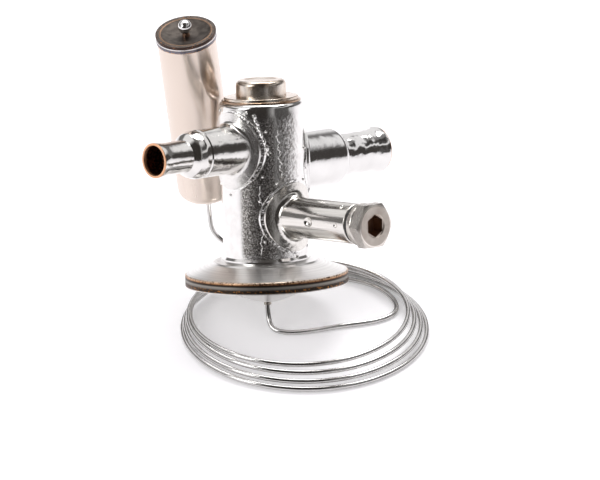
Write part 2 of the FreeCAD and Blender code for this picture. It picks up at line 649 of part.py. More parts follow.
def make_cap():
    """Hexagon screw cap with a key socket, and the seal ring under its collar."""
    seal_low = stem_end
    seal_high = seal_low + size.cap_seal_thickness
    seal = new_body("cap_seal", STEM_PLACE)
    gap, shank = size.seat_gap, size.cap_shank_radius
    revolve(seal, [(shank + size.running_clearance, seal_low + gap), (size.cap_seal_radius, seal_low + gap),
                   (size.cap_seal_radius, seal_high - gap),
                   (shank + size.running_clearance, seal_high - gap)])

    cap = new_body("hex_cap", STEM_PLACE)
    collar, neck = size.cap_collar_radius, seal_high + size.cap_collar_length
    low, bore = seal_high - size.cap_shank_length, size.cap_shank_bore
    recess = low + size.cap_shank_recess
    revolve(cap, [(bore, low), (shank, low), (shank, seal_high), (collar, seal_high),
                  (collar, neck), (0, neck), (0, recess), (bore, recess)])
    soften(cap, size.cap_collar_round, ring_edges(cap.Tip.Shape, [(collar, neck), (collar, seal_high)]),
           "CollarRounds")
    head = new_sketch(cap, "CapHexagon", lift=neck)
    draw_hexagon(head, size.hex_across, corners_sideways=True)
    pad(cap, head, size.hex_length, "Hexagon")
    face = neck + size.hex_length
    corner, slope = size.hex_across / math.sqrt(3), math.tan(math.radians(30))
    bevel = size.hex_chamfer
    flat = size.hex_across / 2
    revolve(cap, [(flat - bevel, face), (corner + 1, face),
                  (corner + 1, face - (corner - flat + bevel + 1) * slope)], "FaceBevel", cut=True)
    socket = new_sketch(cap, "KeySocketOutline", lift=face)
    draw_hexagon(socket, size.key_across, corners_sideways=False)
    cut_deep(cap, socket, size.key_depth, "KeySocket", upward=False)
    sink = size.key_sink_radius
    revolve(cap, [(0, face), (sink, face), (sink - size.key_sink_depth, face - size.key_sink_depth),
                  (0, face - size.key_sink_depth)], "KeySink", cut=True)


# The setting train: a pinion on the spindle turns a crown gear about the
# push pin, and the crown gear screws the keyed spring seat up or down.

bush_end = stem_end - size.bush_end_gap
bush_start, packing_start = bush_end - size.bush_length, bush_end - size.packing_pocket
crown_edge = body_bore - size.crown_side_gap
crown_pitch = crown_edge * size.crown_pitch_share
tooth_inner = crown_pitch - size.tooth_inward
tooth_outer = crown_pitch + size.tooth_outward
crown_bore = tooth_inner - size.crown_bore_step
pinion_pitch = crown_pitch * size.pinion_teeth / size.crown_teeth
crown_pitch_height = stem_height - pinion_pitch
tooth_top = crown_pitch_height + size.tooth_addendum
tooth_floor = crown_pitch_height - size.tooth_addendum - size.tooth_root_clearance
tooth_slope = (size.tooth_thickness - size.tooth_tip_thickness) / (size.tooth_addendum * 2)
tooth_foot_half = (size.tooth_thickness / 2
                   + tooth_slope * (size.tooth_addendum + size.tooth_root_clearance))
SINK = 0.1
seat_low = tooth_floor - size.spring_seat_drop
spring_radius = crown_bore - size.spring_inset
guide_across = (spring_radius - size.spring_wire / 2 - size.guide_wall_gap) * 2
guide_edge = body_bore - size.press_gap
block_low = outlet_height - size.block_below_outlet
block_top = outlet_height + size.block_above_outlet


def make_spindle():
    """Setting spindle with its pinion, a thrust shoulder and a slotted end."""
    body = new_body("setting_spindle", STEM_PLACE)
    start, width = tooth_inner + size.pinion_side_gap, tooth_outer - tooth_inner - size.pinion_side_gap * 2
    neck_end = size.body_radius + size.pinion_neck_past_body
    root = pinion_pitch - size.tooth_addendum - size.tooth_root_clearance
    shaft, shoulder = size.spindle_radius, size.spindle_shoulder_radius
    shoulder_end, end = bush_start - size.seat_gap, stem_end - size.spindle_end_gap
    revolve(body, [(0, start), (root, start), (root, start + width),
                   (size.pinion_neck_radius, start + width),
                   (size.pinion_neck_radius, neck_end), (shaft, neck_end),
                   (shaft, shoulder_end - size.spindle_shoulder),
                   (shoulder, shoulder_end - size.spindle_shoulder), (shoulder, shoulder_end),
                   (shaft, shoulder_end), (shaft, end), (0, end)])
    tooth = new_sketch(body, "PinionToothOutline", lift=start)
    foot, tip = tooth_foot_half, size.tooth_tip_thickness / 2
    top = pinion_pitch + size.tooth_addendum
    draw_loop(tooth, [(-foot, root - SINK), (foot, root - SINK), (tip, top), (-tip, top)])
    first = pad(body, tooth, width, "Tooth")
    spread(body, first, size.pinion_teeth, "Teeth")
    slot = new_sketch(body, "SpindleSlotOutline", "YZ_Plane")
    half = size.spindle_slot_width / 2
    low, high = end - size.spindle_slot_depth, end + size.spindle_slot_depth
    draw_loop(slot, [(-half, low), (half, low), (half, high), (-half, high)])
    cut_through(body, slot, "Slot")


def make_bush():
    """Gland bush that carries the spindle, and the cord ring that seals it."""
    bush = new_body("spindle_bush", STEM_PLACE)
    outer, bore = size.stem_bore_radius - size.seat_gap, size.spindle_radius + size.running_clearance
    pocket = bore + size.packing_cord + size.seat_gap
    revolve(bush, [(bore, bush_start), (outer, bush_start), (outer, bush_end), (pocket, bush_end),
                   (pocket, packing_start), (bore, packing_start)])
    ring = doc.addObject("Part::Torus", "spindle_seal_ring")
    ring.Label = "spindle_seal_ring"
    ring.setExpression("Radius1", (bore + size.packing_cord / 2).text)
    ring.setExpression("Radius2", (size.packing_cord / 2).text)
    lift = packing_start + size.packing_cord / 2 + size.seat_gap
    ring.Placement = STEM_PLACE * shift(0, 0, lift.value)
    parts["spindle_seal_ring"] = ring


def make_crown_gear():
    """Crown gear with upward teeth and a threaded bore, half a tooth out of line."""
    half_pitch = 180.0 / size.crown_teeth.value
    body = new_body("crown_gear", VALVE_PLACE * turn(AXIS_Z, half_pitch))
    low = tooth_floor - size.crown_thickness
    revolve(body, [(crown_bore, low), (crown_edge, low), (crown_edge, tooth_floor),
                   (crown_bore, tooth_floor)])
    tooth = new_sketch(body, "CrownToothOutline", "YZ_Plane", lift=tooth_inner)
    foot, tip = tooth_foot_half, size.tooth_tip_thickness / 2
    draw_loop(tooth, [(-foot, tooth_floor - SINK), (foot, tooth_floor - SINK), (tip, tooth_top),
                      (-tip, tooth_top)])
    first = pad(body, tooth, tooth_outer - tooth_inner, "Tooth")
    spread(body, first, size.crown_teeth, "Teeth")

    retainer = new_body("gear_retainer", VALVE_PLACE)
    low, inner = tooth_floor + size.loose_clearance, tooth_outer + size.retainer_tooth_gap
    high, outer = low + size.retainer_thickness, body_bore - size.seat_gap
    revolve(retainer, [(inner, low), (outer, low), (outer, high), (inner, high)])


def make_spring_seat():
    """Ring that screws in the crown gear and slides on the guide's hexagon."""
    body = new_body("spring_seat", VALVE_PLACE)
    high, outer = seat_low + size.spring_seat_length, crown_bore - size.loose_clearance
    revolve(body, [(0, seat_low), (outer, seat_low), (outer, high), (0, high)])
    keyway = new_sketch(body, "SeatKeyway")
    draw_hexagon(keyway, guide_across + size.loose_clearance * 2, corners_sideways=True)
    cut_through(body, keyway, "Keyway")


def make_pin_guide():
    """Guide pressed in the body: a flange and a hexagon tube round the push pin."""
    body = new_body("pin_guide", VALVE_PLACE)
    bore = size.pin_radius + size.running_clearance
    low, high = block_low - size.guide_flange, block_low
    foot = size.body_foot_height + size.guide_foot_lift
    revolve(body, [(bore, low), (guide_edge, low), (guide_edge, high), (bore, high)])
    stem = new_sketch(body, "GuideHexagon", lift=foot)
    draw_hexagon(stem, guide_across, corners_sideways=True)
    draw_circle(stem, bore)
    pad(body, stem, low - foot, "Hexagon")


def make_push_rod():
    """Thrust plate on the diaphragm, push pin, and the cone over the seat."""
    plate_low = rim_support + size.plate_lift
    plate_top = plate_low + size.plate_thickness
    plate = new_body("thrust_plate", VALVE_PLACE)
    hub_bore, edge = size.pin_radius + size.seat_gap, chamber - size.plate_inset
    bevel = size.plate_edge_bevel
    revolve(plate, [(0, plate_low), (edge, plate_low), (edge, plate_top - bevel),
                    (edge - bevel, plate_top), (size.plate_hub_radius, plate_top),
                    (size.plate_hub_radius, plate_top + size.plate_hub),
                    (hub_bore, plate_top + size.plate_hub), (hub_bore, plate_top), (0, plate_top)])

    tip_low = block_top - size.cone_tip
    pin = new_body("push_pin", VALVE_PLACE)
    revolve(pin, [(0, plate_top), (size.pin_radius, plate_top), (size.pin_radius, tip_low), (0, tip_low)])

    cone = new_body("valve_cone", VALVE_PLACE)
    wide, edge = tip_low + size.cone_height, size.cone_radius - size.seat_gap
    neck, guide_end = wide + size.cone_band, body_top - size.plug_guide_depth + size.plug_bore_depth
    stem_top = guide_end - size.valve_stroke - size.cone_top_gap
    revolve(cone, [(0, tip_low), (size.cone_tip_radius - size.seat_gap, tip_low), (edge, wide),
                   (edge, neck), (size.cone_stem_radius, neck + size.cone_neck),
                   (size.cone_stem_radius, stem_top), (0, stem_top)])

    spring = new_body("superheat_spring", VALVE_PLACE)
    half_wire = size.spring_wire / 2
    start = plate_top + size.seat_gap + half_wire
    wire = new_sketch(spring, "SpringWireOutline", "XZ_Plane")
    draw_circle(wire, half_wire, spring_radius, start)
    coil = spring.newObject("PartDesign::AdditiveHelix", "SpringCoil")
    coil.Profile = wire
    coil.ReferenceAxis = (wire, ["V_Axis"])
    coil.Mode = "height-turns-angle"
    coil.setExpression("Height", (seat_low - size.seat_gap - half_wire - start).text)
    coil.setExpression("Turns", size.spring_turns.text)
    settle(spring, coil)


def make_orifice_block():
    """Seat block pressed in the body, with the orifice, the cross bore and the pin packing."""
    body = new_body("orifice_block", VALVE_PLACE)
    low, top, outer = block_low, block_top, guide_edge
    pin_bore, pocket = size.pin_radius + size.running_clearance, size.packing_pocket_radius
    pocket_top = low + size.packing_pocket_depth
    floor, ceiling = outlet_height - size.block_bore_drop, top - size.orifice_length
    revolve(body, [(pocket, low), (outer, low), (outer, top), (size.orifice_radius, top),
                   (size.orifice_radius, ceiling), (size.block_bore_radius, ceiling),
                   (size.block_bore_radius, floor), (pin_bore, floor), (pin_bore, pocket_top),
                   (pocket, pocket_top)])
    cross = new_sketch(body, "CrossBoreOutline", "YZ_Plane")
    draw_circle(cross, size.outlet_bore_radius, 0, outlet_height)
    cut_deep(body, cross, outer + 1, "CrossBore", upward=True)

    packing = new_body("pin_packing", VALVE_PLACE)
    gap = size.seat_gap
    revolve(packing, [(pin_bore, low + gap), (pocket - gap, low + gap), (pocket - gap, pocket_top - gap),
                      (pin_bore, pocket_top - gap)])


def make_bulb():
    """Sensing bulb: drawn shell, rim band, end disc and the sealed filling tube."""
    radius, wall, length = size.bulb_radius, size.bulb_wall, size.bulb_length
    disc_low = length - size.bulb_disc
    shell = new_body("bulb_shell", BULB_PLACE)
    revolve(shell, [(0, 0), (radius, 0), (radius, disc_low), (radius - wall, disc_low),
                    (radius - wall, wall), (0, wall)])
    soften(shell, size.bulb_bottom_round, ring_edges(shell.Tip.Shape, [(radius, 0)]), "Bottom")
    soften(shell, size.bulb_bottom_round - wall,
           ring_edges(shell.Tip.Shape, [(radius - wall, wall)]), "InnerBottom")

    rim = new_body("bulb_rim_ring", BULB_PLACE)
    band, rim_low = radius + size.bulb_rim_wall, length - size.bulb_rim_height
    edge = radius - size.bulb_disc_inset
    revolve(rim, [(radius + size.liner_play, rim_low), (band, rim_low), (band, length),
                  (edge + size.liner_play, length), (edge + size.liner_play, disc_low),
                  (radius + size.liner_play, disc_low)])
    soften(rim, size.bulb_rim_round, ring_edges(rim.Tip.Shape, [(band, length), (band, rim_low)]), "Edges")

    disc = new_body("bulb_end_disc", BULB_PLACE)
    ridge, half, proud = edge - size.bulb_ridge_inset, size.bulb_ridge_width / 2, size.bulb_ridge_height
    dish, floor = length - size.bulb_dish, size.bulb_dish_floor
    revolve(disc, [(0, dish - size.bulb_disc), (floor, dish - size.bulb_disc), (ridge - half, disc_low),
                   (edge, disc_low), (edge, length),
                   (ridge + half, length), (ridge, length + proud), (ridge - half, length),
                   (floor, dish), (0, dish)])

    neck = new_body("fill_neck", BULB_PLACE)
    neck_radius, waist = size.fill_neck_radius, size.fill_neck_radius * 0.78
    ball, lift = size.fill_ball_radius, dish + size.fill_ball_lift
    revolve(neck, [(0, dish), (neck_radius, dish), (waist, dish + size.fill_neck), (0, lift)])
    bulge = neck.newObject("PartDesign::AdditiveSphere", "FillBall")
    bulge.setExpression("Radius", ball.text)
    bulge.setExpression("AttachmentOffset.Base.z", lift.text)
    bulge.AttachmentSupport = ([f for f in neck.Origin.OriginFeatures if f.Role == "XY_Plane"][0], [""])
    bulge.MapMode = "FlatFace"
    settle(neck, bulge)


# The capillary: two free leads with a coil of loose turns between them.

def world(place, x, y, z):
    return place.multVec(FreeCAD.Vector(x, y, z))


def head_lead_route():
    """From the collar under the head, over the floor and round to the coil's inside."""
    collar_end = -(size.dish_depth + size.collar_length).value
    lead_end = collar_end - size.collar_lead.value
    return [world(VALVE_PLACE, 0, 0, collar_end), world(VALVE_PLACE, 0, 0, lead_end)] + [
        FreeCAD.Vector(*point) for point in (
            (-10.5, -2.9, 1.05), (-5.6, -5.0, 0.9), (2.0, -3.9, 0.9), (12.0, -0.2, 0.9),
            (22.5, 2.3, 0.9), (29.3, 6.6, 0.9), (31.0, 12.6, 0.9), (28.8, 20.0, 0.9),
            (23.8, 26.8, 0.9), (15.5, 31.5, 0.9), (5.5, 33.6, 0.9), (-5.0, 33.7, 1.2),
            (-15.0, 32.2, 2.0), (-23.4, 29.8, 3.0))]


def bulb_lead_route():
    """From the coil's outside, rising behind the valve to the bulb's bottom."""
    return [FreeCAD.Vector(*point) for point in (
        (4.5, 38.2, 1.1), (-3.5, 40.2, 1.6), (-12.0, 41.5, 2.7), (-20.0, 42.3, 4.9),
        (-26.6, 42.3, 8.6), (-30.6, 41.2, 13.6), (-31.4, 40.0, 20.4))] + [
        world(BULB_PLACE, 0, 0, 0)]


def bent_path(route):
    """Straight runs joined by tangent arcs, as wide as the runs allow."""
    edges, radii, start = [], [], route[0]
    for before, corner, after in zip(route, route[1:], route[2:]):
        arriving, leaving = (corner - before).normalize(), (after - corner).normalize()
        half_turn = arriving.getAngle(leaving) / 2
        shorter = min((corner - before).Length, (after - corner).Length)
        setback = 0.45 * shorter
        radii.append(setback / math.tan(half_turn))
        entry, leave = corner - arriving * setback, corner + leaving * setback
        inward = (leaving - arriving).normalize()
        middle = corner + inward * (radii[-1] / math.cos(half_turn) - radii[-1])
        edges.append(Part.LineSegment(start, entry).toShape())
        edges.append(Part.Arc(entry, middle, leave).toShape())
        start = leave
    edges.append(Part.LineSegment(start, route[-1]).toShape())
    return Part.Wire(edges), radii


def make_lead(label, route):
    path, radii = bent_path(route)
    section = Part.Wire(Part.makeCircle(size.capillary_radius.value, route[0], route[1] - route[0]))
    tube = path.makePipeShell([section], True, False)
    ideal = math.pi * size.capillary_radius.value ** 2 * path.Length
    print(f"{label}: length {path.Length:.1f}, least radius {min(radii):.1f}, "
          f"volume against section times length {tube.Volume / ideal:.4f}")
    print("  radii", " ".join(f"{radius:.1f}" for radius in radii))
    lead = doc.addObject("Part::Feature", label)
    lead.Label = label
    lead.Shape = tube
    lead.Placement = FreeCAD.Placement()
    parts[label] = lead


def make_coil():
    """Outer shape of the loose turns: a lopsided cone ring, each turn smaller and higher."""
    body = new_body("capillary_coil", FreeCAD.Placement())
    for name, kind, low, high in (
            ("Outer", "PartDesign::AdditiveLoft", size.coil_low_outer, size.coil_high_outer),
            ("Inner", "PartDesign::SubtractiveLoft", size.coil_low_inner, size.coil_high_inner)):
        bottom = new_sketch(body, f"Coil{name}Bottom")
        draw_circle(bottom, low, size.coil_low_x, size.coil_low_y)
        top = new_sketch(body, f"Coil{name}Top", lift=size.coil_height)
        draw_circle(top, high, size.coil_high_x, size.coil_high_y)
        loft = body.newObject(kind, f"Coil{name}")
        loft.Profile = bottom
        loft.Sections = [top]
        loft.Ruled = True
        settle(body, loft, cut=name == "Inner")


make_valve_body()
make_head()
make_closure()
make_inlet()
make_strainer()
make_outlet()
make_stem()
make_cap()
make_spindle()
make_bush()
make_crown_gear()
make_spring_seat()
make_pin_guide()
make_push_rod()
make_orifice_block()
make_bulb()
make_coil()
make_lead("capillary_lead_head", head_lead_route())
make_lead("capillary_lead_bulb", bulb_lead_route())

doc.recompute()
for item in doc.Objects:
    if "Invalid" in item.State or "Error" in item.State:
        raise RuntimeError(f"{item.Name} is in state {item.State}")
for label, part in parts.items():
    if part.Shape.isNull() or not part.Shape.isValid():
        raise RuntimeError(f"{label} has no valid shape")

os.makedirs("parts", exist_ok=True)
for label, part in parts.items():
    part.Shape.exportStep(f"parts/{label}.step")
print(f"{len(parts)} parts written")
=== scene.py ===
import math
import bpy
import bmesh
from mathutils import Matrix, Vector


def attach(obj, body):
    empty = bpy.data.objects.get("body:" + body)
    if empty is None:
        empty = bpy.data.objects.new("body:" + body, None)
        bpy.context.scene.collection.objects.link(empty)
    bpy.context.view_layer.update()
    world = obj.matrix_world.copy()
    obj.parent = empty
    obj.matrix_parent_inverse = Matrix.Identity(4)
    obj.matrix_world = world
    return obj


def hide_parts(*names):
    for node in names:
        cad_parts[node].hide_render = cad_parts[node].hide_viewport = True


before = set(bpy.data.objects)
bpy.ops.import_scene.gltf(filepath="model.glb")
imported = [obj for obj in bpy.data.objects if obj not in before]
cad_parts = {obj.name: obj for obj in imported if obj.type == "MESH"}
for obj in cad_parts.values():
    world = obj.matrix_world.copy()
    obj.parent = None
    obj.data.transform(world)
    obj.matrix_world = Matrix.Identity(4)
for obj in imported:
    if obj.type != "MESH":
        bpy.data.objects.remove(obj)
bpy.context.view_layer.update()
scene = bpy.context.scene

# The photographer's table: a long lens from the front and a little above, a white
# floor, and a light tent open to the dark room behind the camera. Dark cards at the
# right, low down and overhead, and a gap behind, draw the stripes on the steel.

CAMERA_DISTANCE = 2.0
CAMERA_ELEVATION = math.radians(29.5)
CAMERA_AIM = Vector((-0.0013, 0.0142, 0.0251))
LENS_PIXELS = 6096
PHOTO_WIDTH = 600

camera_data = bpy.data.cameras.new("long_lens")
camera_data.sensor_width = 36.0
camera_data.lens = LENS_PIXELS / PHOTO_WIDTH * camera_data.sensor_width
camera_data.clip_end = 20.0
camera = bpy.data.objects.new("long_lens", camera_data)
scene.collection.objects.link(camera)
camera.location = Vector((0, -math.cos(CAMERA_ELEVATION), math.sin(CAMERA_ELEVATION))) * CAMERA_DISTANCE
camera.rotation_euler = (CAMERA_AIM - camera.location).to_track_quat("-Z", "Y").to_euler()
scene.camera = camera
scene.view_settings.view_transform = "Standard"


class Wire:
    """An output socket; sums written with it add their Math nodes."""

    def __init__(self, finish, socket):
        self.finish, self.socket = finish, socket

    def math(self, operation, *values):
        return self.finish.node("ShaderNodeMath", {"operation": operation}, dict(enumerate(values)))

    def __add__(self, other):
        return self.math("ADD", self, other)

    def __sub__(self, other):
        return self.math("SUBTRACT", self, other)

    def __rsub__(self, other):
        return self.math("SUBTRACT", other, self)

    def __mul__(self, other):
        return self.math("MULTIPLY", self, other)

    def __truediv__(self, other):
        return self.math("DIVIDE", self, other)

    def __gt__(self, other):
        return self.math("GREATER_THAN", self, other)

    def __lt__(self, other):
        return self.math("LESS_THAN", self, other)

    def __abs__(self):
        return self.math("ABSOLUTE", self)

    __radd__, __rmul__ = __add__, __mul__


class Finish:
    """A node tree being wired up, with one method that adds any node."""

    def __init__(self, owner):
        owner.use_nodes = True
        self.owner, self.tree = owner, owner.node_tree

    def node(self, kind, settings=None, inputs=None, output=0):
        node = self.tree.nodes.new(kind)
        for name, value in (settings or {}).items():
            if name == "stops":
                ramp = node.color_ramp
                while len(ramp.elements) < len(value):
                    ramp.elements.new(0.5)
                for element, (position, color) in zip(ramp.elements, value):
                    element.position, element.color = position, (*color, 1.0)
            else:
                setattr(node, name, value)
        self.feed(node, inputs or {})
        return Wire(self, node.outputs[output] if node.outputs else None)

    def feed(self, node, inputs):
        for name, value in inputs.items():
            socket = node.inputs[name]
            if isinstance(value, Wire):
                self.tree.links.new(value.socket, socket)
            elif socket.type == "RGBA":
                socket.default_value = (*value, 1.0)
            else:
                socket.default_value = value

    def ramp(self, factor, stops):
        return self.node("ShaderNodeValToRGB", {"stops": stops}, {"Fac": factor})

    def step(self, value, low, high):
        """Rises smoothly from 0 at low to 1 at high."""
        return self.node("ShaderNodeMapRange", {"interpolation_type": "SMOOTHSTEP"},
                         {"Value": value, "From Min": low, "From Max": high})

    def blend(self, factor, first, second):
        """Mixes two colours; the colour sockets of a Mix node are its 7th and 8th."""
        return self.node("ShaderNodeMix", {"data_type": "RGBA"}, {0: factor, 6: first, 7: second}, output=2)

    def split(self, vector):
        parts = self.node("ShaderNodeSeparateXYZ", inputs={0: vector}).socket.node
        return [Wire(self, parts.outputs[axis]) for axis in "XYZ"]


WHITE = (1.0, 1.0, 1.0)
TENT_CLOTH = (0.92, 0.91, 0.915)
TENT_FILL = (0.50, 0.475, 0.505)
ROOM_DARK = (0.035, 0.031, 0.028)
GAP_DARK = (0.06, 0.054, 0.05)
CARD_DARK = (0.03, 0.027, 0.025)
HORIZON_DARK = (0.05, 0.045, 0.042)
CEILING_DARK = (0.08, 0.072, 0.066)

world = bpy.data.worlds.new("light_tent")
scene.world = world
tent = Finish(world)
tent.tree.nodes.clear()
seen = tent.node("ShaderNodeLightPath", output="Is Camera Ray")
mirrored = tent.node("ShaderNodeLightPath", output="Is Glossy Ray")
through = tent.node("ShaderNodeLightPath", output="Is Transmission Ray")
sideways, backward, upward = tent.split(tent.node("ShaderNodeTexCoord", output="Generated"))
toward_camera = backward * -1

# Each edge below is a direction's share of its axis, from -1 to 1.
camera_side = tent.step(toward_camera, 0.0, 0.26)
left_edge = tent.step(sideways, -0.86, -0.74)
right_fade = 1 - tent.step(sideways, 0.2, 0.92)
dark_room = camera_side * left_edge * right_fade
back_gap = (tent.step(upward, 0.62, 0.7) * (1 - tent.step(upward, 0.8, 0.9)) * (toward_camera < 0)
            * tent.step(sideways, 0.0, 0.3))
right_side = tent.step(sideways, 0.5, 0.62) * (toward_camera > -0.3)
right_card = right_side * tent.step(upward, -0.02, 0.06)
card_slit = tent.step(upward, 0.42, 0.46) * (1 - tent.step(upward, 0.55, 0.6))
horizon = (tent.step(upward, 0.0, 0.04) * (1 - tent.step(upward, 0.4, 0.5)) * (toward_camera < 0.3)
           * tent.step(abs(sideways), 0.12, 0.34))
dark_ceiling = tent.step(upward, 0.9, 0.95)

tent_color = tent.blend(dark_room, TENT_CLOTH, ROOM_DARK)
tent_color = tent.blend(back_gap * 0.8, tent_color, GAP_DARK)
tent_color = tent.blend(right_card * (1 - card_slit) * 0.93, tent_color, CARD_DARK)
tent_color = tent.blend(horizon * 0.85, tent_color, HORIZON_DARK)
tent_color = tent.blend(dark_ceiling * 0.85, tent_color, CEILING_DARK)
tent_light = tent.blend(mirrored, TENT_FILL, tent_color)
tent_light = tent.blend(seen + through, tent_light, WHITE)
background = tent.node("ShaderNodeBackground", inputs={"Color": tent_light, "Strength": 1.0})
tent.node("ShaderNodeOutputWorld", inputs={"Surface": background})


def soft_box(name, place, aim, width, height, watts):
    data = bpy.data.lights.new(name, "AREA")
    data.shape, data.size, data.size_y, data.energy = "RECTANGLE", width, height, watts
    lamp = bpy.data.objects.new(name, data)
    lamp.location = place
    lamp.rotation_euler = (Vector(aim) - Vector(place)).to_track_quat("-Z", "Y").to_euler()
    scene.collection.objects.link(lamp)


soft_box("overhead", (0.05, 0.55, 0.95), (0, 0, 0), width=0.9, height=0.5, watts=8.5)
soft_box("window_left", (-0.8, -0.5, 0.6), (0, 0, 0.03), width=0.4, height=0.6, watts=3.0)

TABLE_HALF_WIDTH = 6.0
TABLE_COLOR = (0.86, 0.855, 0.86)
TABLE_GLOW = 0.3
MIRRORED_GLOW = 0.8
floor_mesh = bpy.data.meshes.new("table_top")
shape = bmesh.new()
bmesh.ops.create_grid(shape, x_segments=2, y_segments=2, size=TABLE_HALF_WIDTH)
shape.to_mesh(floor_mesh)
floor = bpy.data.objects.new("table_top", floor_mesh)
scene.collection.objects.link(floor)

table = bpy.data.materials.new("white_table")
paper = Finish(table)
paper.tree.nodes.clear()
watched = (paper.node("ShaderNodeLightPath", output="Is Camera Ray")
           + paper.node("ShaderNodeLightPath", output="Is Glossy Ray") * MIRRORED_GLOW
           + paper.node("ShaderNodeLightPath", output="Is Transmission Ray"))
matt = paper.node("ShaderNodeBsdfDiffuse", inputs={"Color": TABLE_COLOR})
lift = paper.node("ShaderNodeEmission", inputs={"Color": WHITE, "Strength": watched * TABLE_GLOW})
paper.node("ShaderNodeOutputMaterial",
           inputs={"Surface": paper.node("ShaderNodeAddShader", inputs={0: matt, 1: lift})})
floor_mesh.materials.append(table)


# Valve body: a drawn stainless tube with a flared foot and a rounded shoulder.
# The furnace brazing left its front finely spangled, and flaked beside that; the
# front's dark colour is a painted reflection of the dark room behind the camera.
# It leans back on the coil, so its patterns are laid upright and turned.

MM = 0.001
VALVE_ORIGIN = Vector((-12.1, 4.36, 14.45)) * MM
VALVE_LEAN = (Matrix.Rotation(math.radians(-1.9), 3, "Y") @ Matrix.Rotation(math.radians(-20.5), 3, "X")
              @ Matrix.Rotation(math.radians(44.1), 3, "Z"))
FACING_CAMERA = Vector((-0.696, -0.718))
PATTERN_HEIGHTS = (10.0, 56.0)
SPANGLE_AND_PAINTED_REFLECTION_SPAN = (-0.52, 0.3)
FLAKED_SPAN = (0.35, 0.8)
BODY_DULL = (0.77, 0.755, 0.74)
BODY_BRIGHT = (0.85, 0.84, 0.825)
# Dark colour of the spangle, also painted on as a reflection on the camera-facing front.
GRAIN_DARK_PAINTED_REFLECTION = (0.12, 0.11, 0.10)
GRAIN_LIGHT = (0.62, 0.60, 0.58)
FLAKE_COLOR = (0.34, 0.32, 0.30)


class Metal(Finish):
    """A bare metal, with the piece's own upright coordinates in millimetres."""

    def __init__(self, name, origin=VALVE_ORIGIN, lean=VALVE_LEAN):
        super().__init__(bpy.data.materials.new(name))
        upright = lean.transposed()
        place = self.node("ShaderNodeTexCoord", output="Object")
        self.place = self.node("ShaderNodeMapping", inputs={
            "Vector": place, "Scale": (1 / MM, 1 / MM, 1 / MM), "Rotation": tuple(upright.to_euler()),
            "Location": tuple(upright @ origin / -MM)})
        self.x, self.y, self.z = self.split(self.place)
        self.radius = self.distance(self.x, self.y)

    def distance(self, first, second):
        return self.node("ShaderNodeMath", {"operation": "SQRT"}, {0: first * first + second * second})

    def noise(self, scale, detail=2.0, stretch=(1, 1, 1)):
        """Noise with scale cells to the millimetre, drawn out where stretch is below 1."""
        place = self.node("ShaderNodeMapping", inputs={"Vector": self.place, "Scale": stretch})
        return self.node("ShaderNodeTexNoise", inputs={"Vector": place, "Scale": scale, "Detail": detail})

    def band(self, value, low, high, soft):
        """1 between low and high, and 0 outside them, with both edges softened."""
        return self.step(value, low - soft, low + soft) * (1 - self.step(value, high - soft, high + soft))

    def coat(self, color, roughness, height, depth):
        """Feeds the shader; depth is the height of the bumps in millimetres."""
        self.feed(self.tree.nodes["Principled BSDF"], {
            "Metallic": 1.0, "Base Color": color, "Roughness": roughness,
            "Normal": self.node("ShaderNodeBump", inputs={"Strength": 1.0, "Distance": depth * MM,
                                                          "Height": height})})


def dress(material, *nodes):
    """Gives CAD nodes a finish and shades their facets as one surface."""
    for name in nodes:
        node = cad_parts[name]
        node.data.materials.clear()
        node.data.materials.append(material)
        for polygon in node.data.polygons:
            polygon.use_smooth = True
        weld = node.modifiers.new("seam", "WELD")
        weld.merge_threshold = 0.002 * MM
        split = node.modifiers.new("edges", "EDGE_SPLIT")
        split.split_angle = math.radians(28)


body = Metal("stainless_with_painted_reflection")
across = (body.x * -FACING_CAMERA.y + body.y * FACING_CAMERA.x) / body.radius
in_front = body.x * FACING_CAMERA.x + body.y * FACING_CAMERA.y > 0
below_shoulder = body.band(body.z, *PATTERN_HEIGHTS, soft=2.0)
# Painted reflection: the band facing the camera is painted dark over the real spangle.
spangle_and_painted_reflection = body.band(across, *SPANGLE_AND_PAINTED_REFLECTION_SPAN, soft=0.06) * below_shoulder * in_front
flaked = body.band(across, *FLAKED_SPAN, soft=0.1) * below_shoulder * in_front
cloud = body.noise(0.3, 4.0)
spangle = body.noise(2.6)
flake = body.noise(1.3, 3.0, (1, 1, 0.5))
grain_and_painted_reflection = body.blend(body.step(spangle, 0.45, 0.62), GRAIN_DARK_PAINTED_REFLECTION, GRAIN_LIGHT)
wear_and_painted_reflection = body.blend(body.step(cloud, 0.3, 0.7), BODY_DULL, BODY_BRIGHT)
wear_and_painted_reflection = body.blend(spangle_and_painted_reflection, wear_and_painted_reflection, grain_and_painted_reflection)
wear_and_painted_reflection = body.blend(flaked * body.step(flake, 0.48, 0.58) * 0.7, wear_and_painted_reflection, FLAKE_COLOR)
body.coat(wear_and_painted_reflection, roughness=0.11 + spangle_and_painted_reflection * 0.16 + flaked * 0.12 + (cloud - 0.5) * 0.06,
          height=cloud * 0.08 + spangle * spangle_and_painted_reflection * 0.6 + flake * flaked * 0.8, depth=0.16)
dress(body.owner, "valve_body")


# Braze on the body: a lumpy run that came down along the edge of the inlet's
# plate, two thin lines that the flux left, and small round nubs about each
# saddle plate. All of it froze bright where it had flowed.

